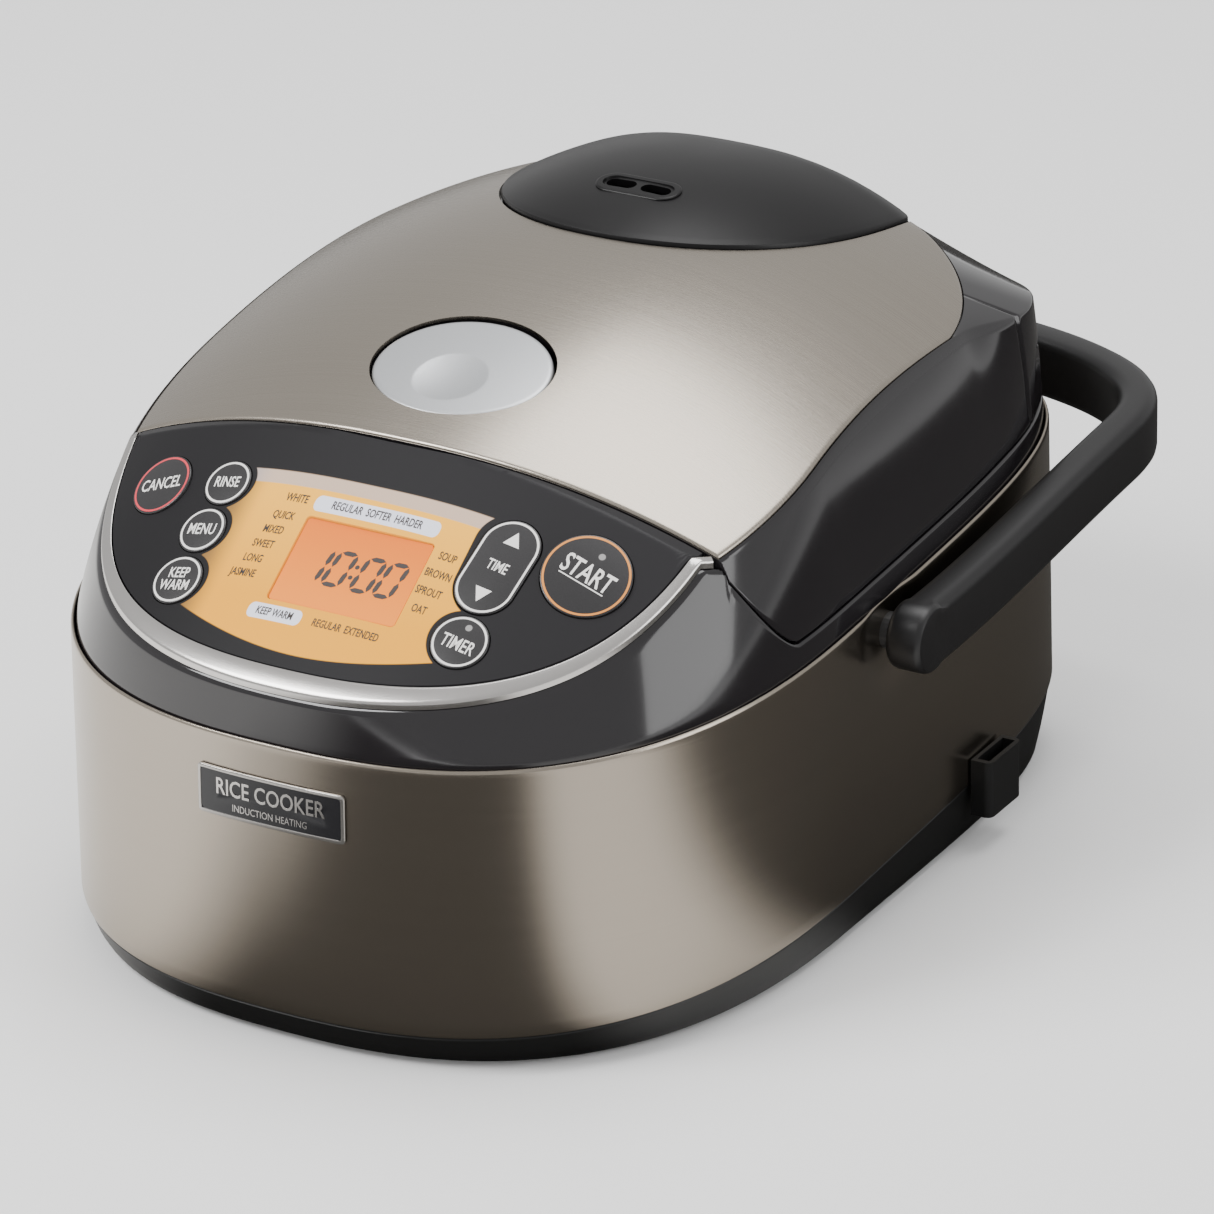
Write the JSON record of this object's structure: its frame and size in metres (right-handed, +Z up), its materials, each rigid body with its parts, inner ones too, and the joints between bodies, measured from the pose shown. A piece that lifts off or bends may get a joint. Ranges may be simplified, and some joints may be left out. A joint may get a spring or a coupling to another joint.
{
  "type": "pressure rice cooker",
  "caption": "Countertop pressure rice cooker with a brushed steel shell, sloping control panel, hinged domed lid with vent cap, and a swinging carry handle.",
  "frame": {"origin": "middle of the footprint, on the surface the feet stand on", "axes": "+X to the right of a person facing the control panel, -Y towards that person, +Z up"},
  "size_m": [0.288, 0.3806, 0.2097],
  "materials": {
    "brushed_shell": "horizontally brushed, warm grey",
    "gloss_black": "polished",
    "satin_black": "satin",
    "matte_black": "fine grained",
    "panel_film": "satin printed film",
    "window_film": "lit amber film",
    "display": "lit display",
    "key_film": "satin printed key",
    "chrome_trim": "satin",
    "button_metal": "satin painted silver",
    "badge": "gloss",
    "bright_metal": "polished",
    "dark_metal": "matt",
    "pan_coating": "non-stick",
    "coil_copper": "varnished windings",
    "board": "solder mask",
    "sink": "plain",
    "grey_plastic": "moulded",
    "rubber_pad": "matt",
    "silicone": "matt",
    "fuse_red": "moulded"
  },
  "bodies": {
    "cooker": {"base_tray": "matte_black", "chrome_trim": "chrome_trim", "coil_carrier": "grey_plastic", "control_board": "board", "control_panel": "panel_film", "cord_outlet": "matte_black", "fan_housing": "matte_black", "foot_front_left": "rubber_pad", "foot_front_right": "rubber_pad", "foot_rear_left": "rubber_pad", "foot_rear_right": "rubber_pad", "front_badge": "badge", "handle_pivot_left": "matte_black", "handle_pivot_right": "matte_black", "heat_sink": "sink", "hinge_pin": "bright_metal", "hinge_spring": "bright_metal", "induction_coil": "coil_copper", "inner_pan": "pan_coating", "latch_catch": "bright_metal", "lcd_module": "display", "menu_window": "window_film", "outer_shell": "brushed_shell", "panel_carrier": "matte_black", "pot_well": "dark_metal", "power_board": "board", "rear_housing": "gloss_black", "sensor_spring": "bright_metal", "spatula_socket": "matte_black", "top_deck": "matte_black", "upper_band": "gloss_black"},
    "lid": {"lid_cover": "gloss_black", "lid_top_plate": "brushed_shell", "lid_frame": "grey_plastic", "hinge_barrel": "matte_black", "button_spring": "bright_metal", "inner_lid": "bright_metal", "pan_gasket": "silicone", "pressure_valve": "bright_metal", "safety_valve": "fuse_red", "valve_solenoid": "dark_metal", "steam_duct": "silicone"},
    "vent_cap": {"steam_vent_cap": "satin_black", "vent_tray": "matte_black"},
    "button": {"open_button": "button_metal"},
    "hook": {"latch_hook": "bright_metal"},
    "handle_bail": {"handle": "matte_black"},
    "rocker": {"time_rocker": "key_film"},
    "fan": {"fan_rotor": "matte_black"},
    "sensor": {"sensor_cap": "bright_metal"},
    "cancel_key_body": {"cancel_key": "key_film"},
    "rinse_key_body": {"rinse_key": "key_film"},
    "menu_key_body": {"menu_key": "key_film"},
    "keep_warm_key_body": {"keep_warm_key": "key_film"},
    "timer_key_body": {"timer_key": "key_film"},
    "start_key_body": {"start_key": "key_film"}
  },
  "joints": [
    {"name": "lid_hinge", "type": "hinge", "parent": "cooker", "child": "lid", "pos_m": [0, 0.1298, 0.15], "axis": [-1, 0, 0], "range_deg": [0, 85]},
    {"name": "handle_swing", "type": "hinge", "parent": "cooker", "child": "handle_bail", "pos_m": [0, -0.0192, 0.1014], "axis": [1, 0, 0], "range_deg": [0, 95]},
    {"name": "vent_cap_lift", "type": "slide", "parent": "lid", "child": "vent_cap", "axis": [0, 0, 1], "range_m": [0, 0.03]},
    {"name": "open_button_press", "type": "slide", "parent": "lid", "child": "button", "axis": [0, 0.2738, -0.9618], "range_m": [0, 0.003], "stiffness_N_per_m": 400, "deforming": ["button_spring"]},
    {"name": "latch_rock", "type": "hinge", "parent": "lid", "child": "hook", "pos_m": [0, -0.0747, 0.1533], "axis": [1, 0, 0], "range_deg": [0, 3.2]},
    {"name": "time_rocker_tilt", "type": "hinge", "parent": "cooker", "child": "rocker", "pos_m": [0.0514, -0.1325, 0.15226], "axis": [0.9843, 0, -0.1762], "range_deg": [-2, 2], "stiffness_Nm_per_rad": 0.05},
    {"name": "fan_spin", "type": "hinge", "parent": "cooker", "child": "fan", "pos_m": [-0.052, -0.1342, 0.019], "axis": [0, 0, 1], "continuous": true},
    {"name": "sensor_press", "type": "slide", "parent": "cooker", "child": "sensor", "axis": [0, 0, -1], "range_m": [0, 0.002], "stiffness_N_per_m": 300, "deforming": ["sensor_spring"]},
    {"name": "cancel_key_press", "type": "slide", "parent": "cooker", "child": "cancel_key_body", "axis": [0.2826, 0.5469, -0.7881], "range_m": [0, 0.0005], "stiffness_N_per_m": 200},
    {"name": "rinse_key_press", "type": "slide", "parent": "cooker", "child": "rinse_key_body", "axis": [0.151, 0.5636, -0.8121], "range_m": [0, 0.0005], "stiffness_N_per_m": 200},
    {"name": "menu_key_press", "type": "slide", "parent": "cooker", "child": "menu_key_body", "axis": [0.1524, 0.5635, -0.8119], "range_m": [0, 0.0005], "stiffness_N_per_m": 200},
    {"name": "keep_warm_key_press", "type": "slide", "parent": "cooker", "child": "keep_warm_key_body", "axis": [0.151, 0.5636, -0.8121], "range_m": [0, 0.0005], "stiffness_N_per_m": 200},
    {"name": "timer_key_press", "type": "slide", "parent": "cooker", "child": "timer_key_body", "axis": [-0.1446, 0.5642, -0.8129], "range_m": [0, 0.0005], "stiffness_N_per_m": 200},
    {"name": "start_key_press", "type": "slide", "parent": "cooker", "child": "start_key_body", "axis": [-0.2798, 0.5474, -0.7887], "range_m": [0, 0.0005], "stiffness_N_per_m": 200}
  ],
  "couplings": [
    {"joint": "latch_rock", "follows": "open_button_press", "rad_per_m": 17.45}
  ]
}
